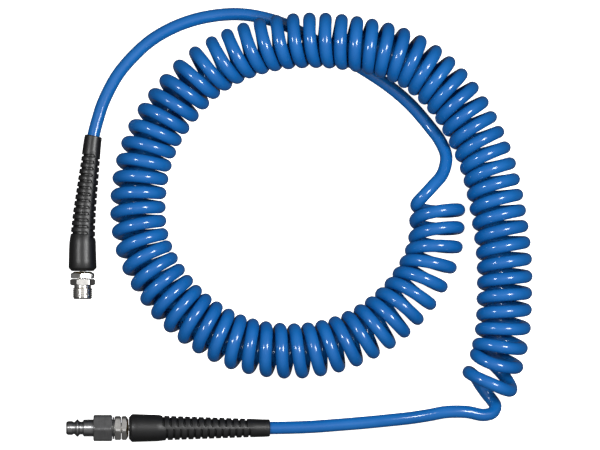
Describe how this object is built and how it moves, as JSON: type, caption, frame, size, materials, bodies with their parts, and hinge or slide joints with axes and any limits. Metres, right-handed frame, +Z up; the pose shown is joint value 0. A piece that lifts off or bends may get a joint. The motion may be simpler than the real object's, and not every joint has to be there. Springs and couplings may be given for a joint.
{
  "type": "coiled air hose",
  "caption": "Coiled compressed-air hose in an open ring, with rubber bend protectors, swivelling male thread fittings and a quick-coupling plug on its outer end.",
  "frame": {"origin": "bottom centre of the box around the two end fittings with their bend protectors, on the surface that the hose lies on", "axes": "+Z up, +Y along the fitting with the bare thread, from its thread towards its bend protector (the longest extent of the fittings' box), +X to the right of that seen from above; the plug points along -X"},
  "size_m": [0.3126, 0.2914, 0.0464],
  "materials": {
    "hose_blue": "glossy blue polyurethane",
    "protector_rubber": "satin black moulded rubber",
    "nickel": "bright nickel-plated brass",
    "dark_steel": "dark turned steel, lightly brushed",
    "bare_brass": "plain crimped brass",
    "seal_rubber": "black seal rubber",
    "spring_steel": "drawn spring wire",
    "slide_plastic": "white bearing plastic"
  },
  "bodies": {
    "hose": {"hose_tail_thread_end": "hose_blue", "hose_coil": "hose_blue", "hose_tail_plug_end": "hose_blue", "bend_protector_thread_end": "protector_rubber", "clamp_ferrule_thread_end": "bare_brass", "hose_stem_thread_end": "nickel", "o_ring_inner_thread_end": "seal_rubber", "o_ring_outer_thread_end": "seal_rubber", "snap_ring_thread_end": "spring_steel", "slide_washer_thread_end": "slide_plastic", "bend_protector_plug_end": "protector_rubber", "clamp_ferrule_plug_end": "bare_brass", "hose_stem_plug_end": "nickel", "o_ring_inner_plug_end": "seal_rubber", "o_ring_outer_plug_end": "seal_rubber", "snap_ring_plug_end": "spring_steel", "slide_washer_plug_end": "slide_plastic"},
    "thread_end_swivel": {"swivel_stud_thread_end": "nickel"},
    "plug_end_swivel": {"swivel_stud_plug_end": "nickel", "sealing_washer": "seal_rubber", "coupling_plug": "dark_steel"}
  },
  "joints": [
    {"name": "thread_swivel", "type": "hinge", "parent": "hose", "child": "thread_end_swivel", "pos_m": [-0.0573, 0.001, 0.0099], "axis": [0, -1, 0], "continuous": true},
    {"name": "plug_swivel", "type": "hinge", "parent": "hose", "child": "plug_end_swivel", "pos_m": [-0.037, -0.0934, 0.0099], "axis": [-1, 0, 0], "continuous": true}
  ]
}
